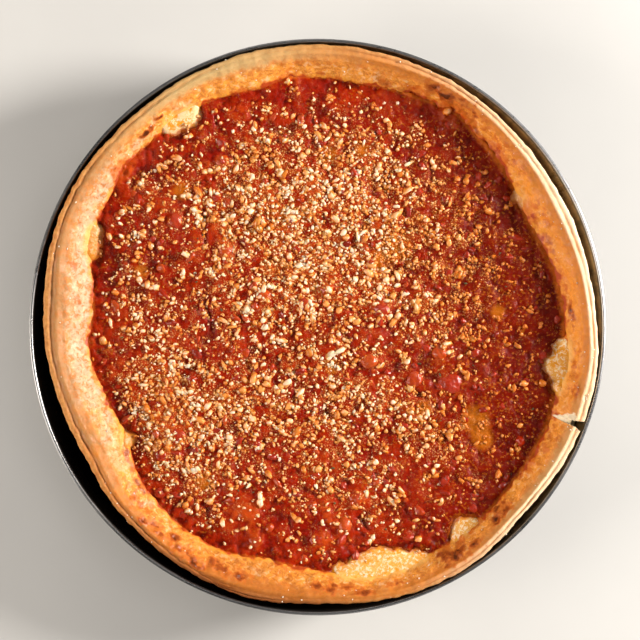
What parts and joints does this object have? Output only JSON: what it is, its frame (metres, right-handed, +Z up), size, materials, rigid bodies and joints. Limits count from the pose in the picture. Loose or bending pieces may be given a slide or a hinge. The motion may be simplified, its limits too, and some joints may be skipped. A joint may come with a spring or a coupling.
{
  "type": "deep dish pizza",
  "caption": "Round deep dish pizza, baked in its black steel pan: raised crust rim with a sloping inside, melted cheese at the edge, and tomato sauce with lumps of tomato.",
  "frame": {"origin": "middle of the pan's underside, on the surface that it rests on", "axes": "+Z up along the pan's axis; +X and +Y across the pan, with the split in the crust's rim 20.6 degrees clockwise from +X seen from above"},
  "size_m": [0.31, 0.31, 0.0522],
  "materials": {
    "pan_steel": "glossy black baked-on coat, with oil and fine scratches",
    "baked_dough": "baked dough, cream to golden, with brown spots, slightly oily",
    "melted_cheese": "melted cheese under a film of amber oil",
    "tomato_sauce": "wet, pulpy tomato sauce",
    "cooked_tomato": "wet, soft tomato flesh"
  },
  "bodies": {
    "root": {"pan": "pan_steel", "crust": "baked_dough", "cheese": "melted_cheese", "sauce": "tomato_sauce", "tomato_chunk_01": "cooked_tomato", "tomato_chunk_02": "cooked_tomato", "tomato_chunk_03": "cooked_tomato", "tomato_chunk_04": "cooked_tomato", "tomato_chunk_05": "cooked_tomato", "tomato_chunk_06": "cooked_tomato", "tomato_chunk_07": "cooked_tomato", "tomato_chunk_08": "cooked_tomato", "tomato_chunk_09": "cooked_tomato", "tomato_chunk_10": "cooked_tomato", "tomato_chunk_11": "cooked_tomato", "tomato_chunk_12": "cooked_tomato", "tomato_chunk_13": "cooked_tomato", "tomato_chunk_14": "cooked_tomato", "tomato_chunk_15": "cooked_tomato", "tomato_chunk_16": "cooked_tomato", "tomato_chunk_17": "cooked_tomato", "tomato_chunk_18": "cooked_tomato"}
  },
  "joints": []
}
